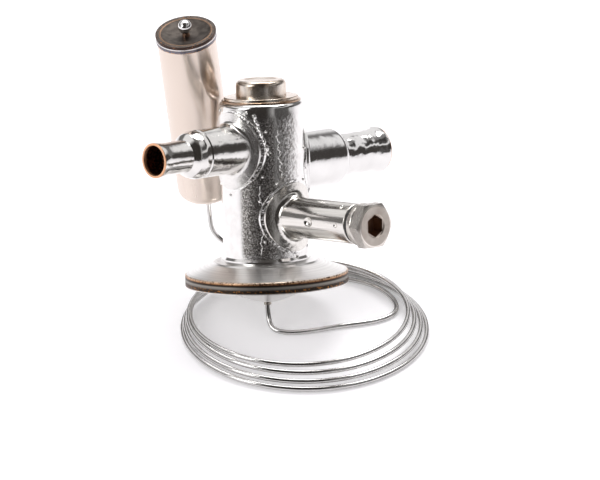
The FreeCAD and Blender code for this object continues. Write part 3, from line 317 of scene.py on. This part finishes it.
BRAZE_COLOR = (0.88, 0.87, 0.85)
BODY_RADIUS = 13.95
RUN_LUMPS = 18
RUN_ANGLE = -144.0
RUN_SWEEP = 19.4
RUN_SWAY = 1.1
RUN_TOP = 57.3
RUN_DROP = 13.1
RUN_THICKNESS = 0.62
LINE_LUMPS = 34
LINE_THICKNESS = 0.17
MIDDLE_ANGLE = -113.0
MIDDLE_SWEEP = 5.0
MIDDLE_SWAY = 1.6
MIDDLE_TOP = 52.0
MIDDLE_DROP = 15.5
STEM_LINE_ANGLE = -139.0
STEM_LINE_BOW = 3.5
STEM_LINE_SWAY = 1.1
STEM_LINE_TOP = 34.0
STEM_LINE_DROP = 22.5
NUB_RADIUS = 0.52
NUBS_PER_PLATE = 7
NUB_SPACING = 51.4
NUB_SHIFT = 9
INLET_LEVEL = 45.2
OUTLET_LEVEL = 38.45
STEM_LEVEL = 23.06

braze = Metal("braze_alloy")
lumps = braze.noise(1.4, 3.0)
braze.coat(BRAZE_COLOR, roughness=0.14 + lumps * 0.1, height=lumps, depth=0.12)


def valve_point(x, y, z):
    return VALVE_ORIGIN + VALVE_LEAN @ Vector((x, y, z)) * MM


def braze_line(name, spots, thickness, lumpiness):
    """A line of braze on the body, through spots given as angle in degrees and height."""
    curve = bpy.data.curves.new(name, "CURVE")
    curve.dimensions = "3D"
    run = curve.splines.new("NURBS")
    run.points.add(len(spots) - 1)
    for number, (point, (degrees, height)) in enumerate(zip(run.points, spots)):
        angle = math.radians(degrees)
        spot = valve_point(BODY_RADIUS * math.cos(angle), BODY_RADIUS * math.sin(angle), height)
        point.co = (*spot, 1.0)
        point.radius = 1 + lumpiness * math.sin(number * 2.3)
    run.order_u = 3
    run.use_endpoint_u = True
    curve.bevel_depth = thickness * MM
    curve.bevel_resolution = 4
    curve.use_fill_caps = True
    curve.materials.append(braze.owner)
    piece = bpy.data.objects.new(name, curve)
    scene.collection.objects.link(piece)
    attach(piece, "valve")


def shares_of(count):
    return [number / (count - 1) for number in range(count)]


def wander(share):
    """A sway to both sides that never repeats along a line."""
    return math.sin(share * 29) + math.sin(share * 71 + 1) * 0.8


run_spots = []
for share in shares_of(RUN_LUMPS):
    angle = RUN_ANGLE + RUN_SWEEP * share + RUN_SWAY * math.sin(share * 32)
    run_spots.append((angle, RUN_TOP - RUN_DROP * share))
braze_line("braze_run", run_spots, RUN_THICKNESS, lumpiness=0.35)

middle_spots = []
stem_line_spots = []
for share in shares_of(LINE_LUMPS):
    angle = MIDDLE_ANGLE + MIDDLE_SWEEP * share + MIDDLE_SWAY * wander(share)
    middle_spots.append((angle, MIDDLE_TOP - MIDDLE_DROP * share))
    bow = STEM_LINE_BOW * math.sin(share * math.pi) ** 2
    angle = STEM_LINE_ANGLE + bow + STEM_LINE_SWAY * wander(share)
    stem_line_spots.append((angle, STEM_LINE_TOP - STEM_LINE_DROP * share))
braze_line("flux_line_middle", middle_spots, LINE_THICKNESS, lumpiness=0.5)
braze_line("flux_line_stem", stem_line_spots, LINE_THICKNESS, lumpiness=0.5)

# A saddle plate's outward direction, level, half width and half height.
SADDLES = (
    ((-1, 0), INLET_LEVEL, 12.2, 14.7),
    ((1, 0), OUTLET_LEVEL, 13.4, 14.7),
    ((0, -1), STEM_LEVEL, 11.7, 13.3))
nub_mesh = bpy.data.meshes.new("braze_nubs")
shape = bmesh.new()
for (out_x, out_y), level, half_width, half_height in SADDLES:
    for number in range(NUBS_PER_PLATE):
        turned = math.radians(number * NUB_SPACING + NUB_SHIFT * (number % 3))
        aside = half_width * math.cos(turned)
        out = math.sqrt(BODY_RADIUS ** 2 - aside ** 2)
        spot = valve_point(out * out_x + aside * abs(out_y), out * out_y + aside * abs(out_x),
                           level + half_height * math.sin(turned))
        bmesh.ops.create_icosphere(shape, subdivisions=3, radius=NUB_RADIUS * MM,
                                   matrix=Matrix.Translation(spot))
for face in shape.faces:
    face.smooth = True
shape.to_mesh(nub_mesh)
nub_mesh.materials.append(braze.owner)
braze_nubs = bpy.data.objects.new("braze_nubs", nub_mesh)
scene.collection.objects.link(braze_nubs)
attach(braze_nubs, "valve")


# Diaphragm head: a pressed stainless dish below and a bell above, with the diaphragm
# and its support ring between them. The bell is turned to a satin, and the rim is
# welded, where the heat left black and orange bands.

BELL_DULL = (0.82, 0.805, 0.79)
BELL_BRIGHT = (0.94, 0.93, 0.91)
RIM_HEIGHT = 4.0
RIM_EDGE = (26.1, 26.5)
ORANGE_HEIGHTS = (0.3, 1.5)
BROWN_FROM = 2.9
RIM_BANDS = [
    (0.0, (0.80, 0.78, 0.76)), (0.05, (0.60, 0.56, 0.52)), (0.09, (0.03, 0.025, 0.02)),
    (0.33, (0.05, 0.035, 0.025)), (0.39, (0.17, 0.155, 0.14)), (0.55, (0.30, 0.28, 0.25)),
    (0.66, (0.03, 0.025, 0.02)), (0.76, (0.05, 0.03, 0.02)), (0.84, (0.62, 0.33, 0.16)),
    (0.97, (0.75, 0.62, 0.50))]
SCALE_ORANGE = (0.50, 0.22, 0.07)
SCALE_BROWN = (0.10, 0.05, 0.03)

head = Metal("turned_head")
turning = head.node("ShaderNodeTexNoise", {"noise_dimensions": "1D"},
                    {"W": head.radius, "Scale": 1.3, "Detail": 4.0})
haze = head.noise(0.08, 3.0)
burnt = head.noise(1.6, 3.0)
rim = head.step(head.radius, *RIM_EDGE)
satin = head.blend(head.step(turning, 0.3, 0.7), BELL_DULL, BELL_BRIGHT)
orange_low, orange_high = ORANGE_HEIGHTS
orange_specks = head.step(burnt, 0.56, 0.66) * (head.z < orange_high) * (head.z > orange_low)
brown_specks = head.step(burnt, 0.5, 0.62) * (head.z > BROWN_FROM)
bands = head.ramp(head.z / RIM_HEIGHT, RIM_BANDS)
bands = head.blend(orange_specks, bands, SCALE_ORANGE)
bands = head.blend(brown_specks, bands, SCALE_BROWN)
head.coat(head.blend(rim, satin, bands), roughness=0.3 + rim * 0.1 + (haze - 0.5) * 0.08,
          height=turning * 0.4 + burnt * rim, depth=0.05)
dress(head.owner, "head_upper_shell", "head_lower_shell", "head_support_ring", "diaphragm")


# Closure: a steel plug welded into the body's top, and the button that seals it.
# Both keep the brown and straw tints of the weld, darkest at the plug's edge.

TINT_BROWN = (0.52, 0.41, 0.32)
TINT_STRAW = (0.80, 0.74, 0.67)
EDGE_BROWN = (0.30, 0.17, 0.09)
EDGE_RADII = (12.6, 15.0)

closure = Metal("heat_tinted_steel")
tint = closure.noise(0.22, 3.0)
scratch = closure.noise(3.0)
edge = closure.band(closure.radius, *EDGE_RADII, soft=0.4)
tinted = closure.blend(closure.step(tint, 0.3, 0.7), TINT_BROWN, TINT_STRAW)
tinted = closure.blend(edge * 0.75, tinted, EDGE_BROWN)
closure.coat(tinted, roughness=0.24 + (tint - 0.5) * 0.2, height=tint + scratch * 0.15, depth=0.10)
dress(closure.owner, "closure_plug", "closure_button")


# Inlet fitting: a drawn stainless socket on its saddle plate, which the furnace
# left darker and rougher than the tube.

INLET_DULL = (0.72, 0.70, 0.68)
INLET_BRIGHT = (0.88, 0.87, 0.85)
PLATE_DARK = (0.45, 0.43, 0.41)
PLATE_END = (13.5, 15.5)

inlet = Metal("drawn_inlet")
soft = inlet.noise(0.2, 3.0)
fine = inlet.noise(2.5)
plate = 1 - inlet.step(inlet.x * -1, *PLATE_END)
inlet_color = inlet.blend(soft, INLET_DULL, INLET_BRIGHT)
inlet_color = inlet.blend(plate * inlet.step(fine, 0.45, 0.6) * 0.5, inlet_color, PLATE_DARK)
inlet.coat(inlet_color, roughness=0.12 + plate * 0.12 + (soft - 0.5) * 0.1,
           height=soft + fine * (0.08 + plate * 0.15), depth=0.16)
dress(inlet.owner, "inlet_socket")


# Copper linings of both sockets, each with a lip over the socket's end, so that
# copper tube can be soldered in. They are bare at the mouth and painted near black
# within, a painted shade in the bore, with dark brown spots.

COPPER_LIP = (0.86, 0.50, 0.30)
BORE_PAINTED_SHADE = (0.035, 0.008, 0.004)
COPPER_BROWN = (0.20, 0.06, 0.025)
MOUTH_START = (46.6, 47.4)

lining = Metal("copper_lining")
spots = lining.noise(1.2, 3.0)
mouth = lining.step(lining.radius, *MOUTH_START)
# Painted shade: the bore behind the mouth is painted near black and dark brown.
bore_shade_and_spots = lining.blend(lining.step(spots, 0.4, 0.7), BORE_PAINTED_SHADE, COPPER_BROWN)
lining.coat(lining.blend(mouth, bore_shade_and_spots, COPPER_LIP), roughness=0.45 + (spots - 0.5) * 0.2,
            height=spots, depth=0.05)
dress(lining.owner, "inlet_copper_liner", "outlet_copper_liner")


# Weld beads that fix the three saddle plates to the body: bright steel, rounded
# and rippled all the way round as it froze.

BEAD_DULL = (0.80, 0.79, 0.77)
BEAD_BRIGHT = (0.95, 0.94, 0.93)

bead = Metal("weld_bead_steel")
ripple = bead.noise(0.9, 3.0)
bead.coat(bead.blend(ripple, BEAD_DULL, BEAD_BRIGHT), roughness=0.1 + ripple * 0.12,
          height=ripple, depth=0.25)
dress(bead.owner, "inlet_weld_bead", "outlet_weld_bead", "stem_weld_bead")


# Outlet fitting: the larger socket, drawn out of its plate and left wavy by the
# drawing, so that its reflections run like liquid near the mouth.

OUTLET_DULL = (0.70, 0.69, 0.68)
OUTLET_BRIGHT = (0.90, 0.89, 0.88)
WAVY_START = (33.0, 38.0)

outlet = Metal("drawn_outlet")
wave = outlet.noise(0.16)
skin = outlet.noise(2.0)
wavy = outlet.step(outlet.x, *WAVY_START)
outlet.coat(outlet.blend(outlet.noise(0.12, 3.0), OUTLET_DULL, OUTLET_BRIGHT),
            roughness=0.10 + (skin - 0.5) * 0.06, height=wave * (0.35 + wavy) + skin * 0.03, depth=0.5)
dress(outlet.owner, "outlet_socket")


# Setting stem: a drawn stainless housing with draw marks along it, staked into
# the bush of the spindle by round dimples.

STEM_DULL = (0.62, 0.59, 0.55)
STEM_BRIGHT = (0.90, 0.88, 0.85)

stem = Metal("drawn_stem")
drawn = stem.noise(0.9, 3.0, (1, 0.08, 1))
patch = stem.noise(0.18, 3.0)
stem.coat(stem.blend(drawn, STEM_DULL, STEM_BRIGHT), roughness=0.15 + (patch - 0.5) * 0.12,
          height=drawn * 0.6 + patch * 0.4, depth=0.10)
dress(stem.owner, "stem_housing")


# Hexagon cap: ground steel, screwed onto the stem and brushed on its flats, with
# a warm bloom on its front face, a bright chamfer and a key socket painted dark
# brown, a painted shade in its depth over a warm tone.

FLAT_DULL = (0.50, 0.46, 0.42)
FLAT_BRIGHT = (0.78, 0.75, 0.71)
BLOOM_BROWN = (0.40, 0.34, 0.29)
BLOOM_CREAM = (0.76, 0.71, 0.65)
CHAMFER_COLOR = (0.88, 0.84, 0.79)
KEY_SOCKET_PAINTED_SHADE = (0.32, 0.20, 0.13)
FRONT_START = (51.6, 52.0)
KEY_SOCKET_EDGE = (3.9, 4.1)
CHAMFER_RADII = (6.55, 6.8)

cap = Metal("ground_hexagon")
from_axis = cap.distance(cap.x, cap.z - STEM_LEVEL)
brushed = cap.noise(1.6, 3.0, (0.15, 1, 1))
bloom = cap.noise(0.25)
front = cap.step(cap.y * -1, *FRONT_START)
# Painted shade: the key socket's walls and floor are painted dark brown.
socket_painted_shade = (1 - cap.step(from_axis, *KEY_SOCKET_EDGE)) * (1 - front)
chamfer = cap.band(from_axis, *CHAMFER_RADII, soft=0.1) * front
cap_color = cap.blend(brushed, FLAT_DULL, FLAT_BRIGHT)
cap_color = cap.blend(front, cap_color, cap.blend(bloom, BLOOM_BROWN, BLOOM_CREAM))
cap_color = cap.blend(chamfer, cap_color, CHAMFER_COLOR)
cap_color = cap.blend(socket_painted_shade, cap_color, KEY_SOCKET_PAINTED_SHADE)
cap.coat(cap_color, roughness=0.26 + front * 0.12 + socket_painted_shade * 0.15,
         height=brushed + bloom * 0.4, depth=0.05)
dress(cap.owner, "hex_cap")


# Seals of black rubber: the gasket under the cap's collar, the ring on the
# spindle in its bush, and the packing round the push pin.

RUBBER_BLACK = (0.012, 0.012, 0.012)
RUBBER_GREY = (0.03, 0.03, 0.03)

rubber = Finish(bpy.data.materials.new("black_seal"))
rubber_place = rubber.node("ShaderNodeTexCoord", output="Object")
rubber_grain = rubber.node("ShaderNodeTexNoise", inputs={"Vector": rubber_place, "Scale": 3 / MM})
rubber.feed(rubber.tree.nodes["Principled BSDF"], {
    "Base Color": rubber.blend(rubber_grain, RUBBER_BLACK, RUBBER_GREY),
    "Roughness": 0.55 + (rubber_grain - 0.5) * 0.2})
dress(rubber.owner, "cap_seal", "spindle_seal_ring", "pin_packing")


# Works inside the valve: the setting train, what the diaphragm pushes and its
# guides, all turned steel, with a wound spring, a strainer basket and the
# capillary's collar. Most of them show only in an opened valve.

WORKS_DULL = (0.46, 0.42, 0.37)
WORKS_BRIGHT = (0.68, 0.63, 0.57)

works = Metal("turned_steel")
oil = works.noise(0.4, 3.0)
tool_marks = works.noise(2.0, 2.0, (1, 1, 0.2))
works.coat(works.blend(oil, WORKS_DULL, WORKS_BRIGHT), roughness=0.28 + (oil - 0.5) * 0.2,
           height=oil * 0.4 + tool_marks, depth=0.03)
dress(works.owner, "crown_gear", "orifice_block", "spindle_bush", "pin_guide", "spring_seat",
      "thrust_plate", "push_pin", "valve_cone", "superheat_spring", "setting_spindle", "gear_retainer",
      "inlet_strainer", "capillary_collar")


# Sensing bulb: a drawn steel shell with a warm satin, closed by a disc within a rim
# band. The furnace left both dark, but for the disc's lighter ridge; the bright line
# round the band is a painted highlight. A bright sealed filling tube stands in the
# disc's middle.

BULB_ORIGIN = Vector((-31.9, 39.0, 29.4)) * MM
BULB_LEAN = Matrix.Rotation(math.radians(-6.16), 3, "Y") @ Matrix.Rotation(math.radians(4.5), 3, "X")
SHELL_TAN = (0.66, 0.56, 0.49)
SHELL_CREAM = (0.82, 0.73, 0.66)
DISC_BLACK = (0.050, 0.042, 0.037)
DISC_GREY = (0.100, 0.086, 0.076)
RIDGE_COPPER = (0.34, 0.22, 0.15)
BAND_BLACK = (0.05, 0.035, 0.03)
BAND_BLUE = (0.16, 0.16, 0.19)
BAND_PAINTED_HIGHLIGHT = (0.78, 0.76, 0.76)
BAND_ORANGE = (0.62, 0.34, 0.18)
RUST_ORANGE = (0.48, 0.20, 0.08)
TUBE_BRIGHT = (0.90, 0.89, 0.88)
TUBE_COPPER = (0.70, 0.45, 0.32)
RIDGE_RADII = (8.2, 8.75)
RUST_START = (8.9, 9.3)
BAND_START = (9.6, 9.75)
ORANGE_EDGE_HEIGHTS = (60.0, 60.4)
BAND_BLACK_START = (61.0, 61.3)
PAINTED_HIGHLIGHT_HEIGHTS = (61.3, 61.7)
BALL_START = (62.6, 63.2)

shell = Metal("satin_bulb", BULB_ORIGIN, BULB_LEAN)
sheen = shell.noise(0.05, 3.0, (1, 1, 0.4))
peel = shell.noise(1.8)
shell.coat(shell.blend(sheen, SHELL_TAN, SHELL_CREAM), roughness=0.27 + (sheen - 0.5) * 0.12,
           height=sheen + peel * 0.05, depth=0.14)
dress(shell.owner, "bulb_shell")

disc = Metal("furnace_dark_disc", BULB_ORIGIN, BULB_LEAN)
soot = disc.noise(0.5, 3.0)
rust = disc.noise(2.2)
ridge = disc.band(disc.radius, *RIDGE_RADII, soft=0.12)
outside = disc.step(disc.radius, *BAND_START)
below_line = 1 - disc.step(disc.z, *BAND_BLACK_START)
orange_edge = disc.band(disc.z, *ORANGE_EDGE_HEIGHTS, soft=0.1) * disc.step(rust, 0.4, 0.6)
# Painted highlight: a bright line round the top edge of the rim band.
painted_highlight_line = disc.band(disc.z, *PAINTED_HIGHLIGHT_HEIGHTS, soft=0.12)
rust_specks = disc.step(rust, 0.62, 0.7) * disc.step(disc.radius, *RUST_START)
disc_color = disc.blend(disc.step(soot, 0.3, 0.7), DISC_BLACK, DISC_GREY)
disc_color = disc.blend(ridge * 0.8, disc_color, RIDGE_COPPER)
band_color = disc.blend(below_line, BAND_BLACK, BAND_BLUE)
band_color = disc.blend(orange_edge, band_color, BAND_ORANGE)
band_color = disc.blend(painted_highlight_line, band_color, BAND_PAINTED_HIGHLIGHT)
disc_color = disc.blend(outside, disc_color, band_color)
disc_color = disc.blend(rust_specks * 0.8, disc_color, RUST_ORANGE)
disc.coat(disc_color, roughness=0.55 - outside * 0.25 + (soot - 0.5) * 0.15,
          height=soot + rust * 0.3, depth=0.04)
dress(disc.owner, "bulb_end_disc", "bulb_rim_ring")

tube = Metal("bright_filling_tube", BULB_ORIGIN, BULB_LEAN)
neck = 1 - tube.step(tube.z, *BALL_START)
drop = tube.noise(0.6)
tube.coat(tube.blend(neck, TUBE_BRIGHT, TUBE_COPPER), roughness=0.08 + drop * 0.08,
          height=drop, depth=0.02)
dress(tube.owner, "fill_neck")


# Capillary: thin drawn steel tube. It leaves the head downwards, crosses the
# floor inside the coil, winds down through four loose turns and rises behind
# the valve to the sensing bulb.

CAPILLARY_DULL = (0.50, 0.49, 0.48)
CAPILLARY_BRIGHT = (0.76, 0.75, 0.74)
CAPILLARY_DIAMETER = 1.7 * MM
AXIS_LEVELS = (-7.1, -11.3)
HEAD_LEAD = [
    (-10.5, -2.9, 1.05), (-5.6, -5.0, 0.9), (2.0, -3.9, 0.9), (12.0, -0.2, 0.9), (22.5, 2.3, 0.9),
    (29.3, 6.6, 0.9), (31.0, 12.6, 0.9), (28.8, 20.0, 0.9), (23.8, 26.8, 0.9), (15.5, 31.5, 0.9),
    (5.5, 33.6, 0.9), (-5.0, 33.7, 1.2), (-15.0, 32.2, 2.0)]
BULB_LEAD = [
    (-3.5, 40.2, 1.6), (-12.0, 41.5, 2.7), (-20.0, 42.3, 4.9),
    (-26.6, 42.3, 8.6), (-30.6, 41.2, 13.6), (-31.4, 40.0, 20.4)]
BULB_FOOT = (-31.9, 39.0, 29.4)
COIL_TURNS = 4
POINTS_PER_TURN = 24
TURN_START = math.radians(130)
TURN_RADII = (35.9, 37.4, 38.9, 40.5)
TURN_CENTRES_X = (-1.7, -1.1, -0.5, 0.1)
TURN_CENTRES_Y = (1.0, -0.6, -1.8, -2.2)
TURN_MIDDLE = 0.5
TURN_RISE = 1.68
LOWEST_HEIGHT = 0.9
FALL_START = 0.55
CLIMB_HEIGHT = 3.7
CLIMB_PER_TURN = 8.5
POINTS_LEFT_OUT = 3


def along(values, place):
    """Reads a value between the turns' own, and holds the last one."""
    place = min(max(place, 0.0), len(values) - 1.0)
    low = min(int(place), len(values) - 2)
    return values[low] + (values[low + 1] - values[low]) * (place - low)


capillary_route = [tuple(valve_point(0, 0, level) / MM) for level in AXIS_LEVELS] + HEAD_LEAD
for step_number in range(COIL_TURNS * POINTS_PER_TURN - POINTS_LEFT_OUT):
    turned = step_number / POINTS_PER_TURN
    angle = TURN_START + turned * 2 * math.pi
    layer = turned - TURN_MIDDLE
    turns_below = COIL_TURNS - 1 - min(max(turned - FALL_START, 0), COIL_TURNS - 1)
    height = min(LOWEST_HEIGHT + TURN_RISE * turns_below, CLIMB_HEIGHT + CLIMB_PER_TURN * turned)
    radius = along(TURN_RADII, layer)
    capillary_route.append((along(TURN_CENTRES_X, layer) + radius * math.cos(angle),
                            along(TURN_CENTRES_Y, layer) + radius * math.sin(angle), height))
capillary_route += BULB_LEAD + [BULB_FOOT]

capillary_curve = bpy.data.curves.new("capillary", "CURVE")
capillary_curve.dimensions = "3D"
line = capillary_curve.splines.new("NURBS")
line.points.add(len(capillary_route) - 1)
for point, (x, y, z) in zip(line.points, capillary_route):
    point.co = (x * MM, y * MM, z * MM, 1.0)
line.order_u = 3
line.use_endpoint_u = True
line.resolution_u = 6
capillary_curve.bevel_depth = CAPILLARY_DIAMETER / 2
capillary_curve.bevel_resolution = 5
capillary = bpy.data.objects.new("capillary", capillary_curve)
scene.collection.objects.link(capillary)
capillary_steel = Metal("drawn_capillary", Vector(), Matrix.Identity(3))
kinks = capillary_steel.noise(0.3)
capillary_steel.coat(capillary_steel.blend(kinks, CAPILLARY_DULL, CAPILLARY_BRIGHT),
                     roughness=0.1 + kinks * 0.06, height=kinks, depth=0.02)
capillary_curve.materials.append(capillary_steel.owner)
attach(capillary, "valve")
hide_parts("capillary_lead_head", "capillary_coil", "capillary_lead_bulb")
tuple(value * MM for value in capillary_route[0])
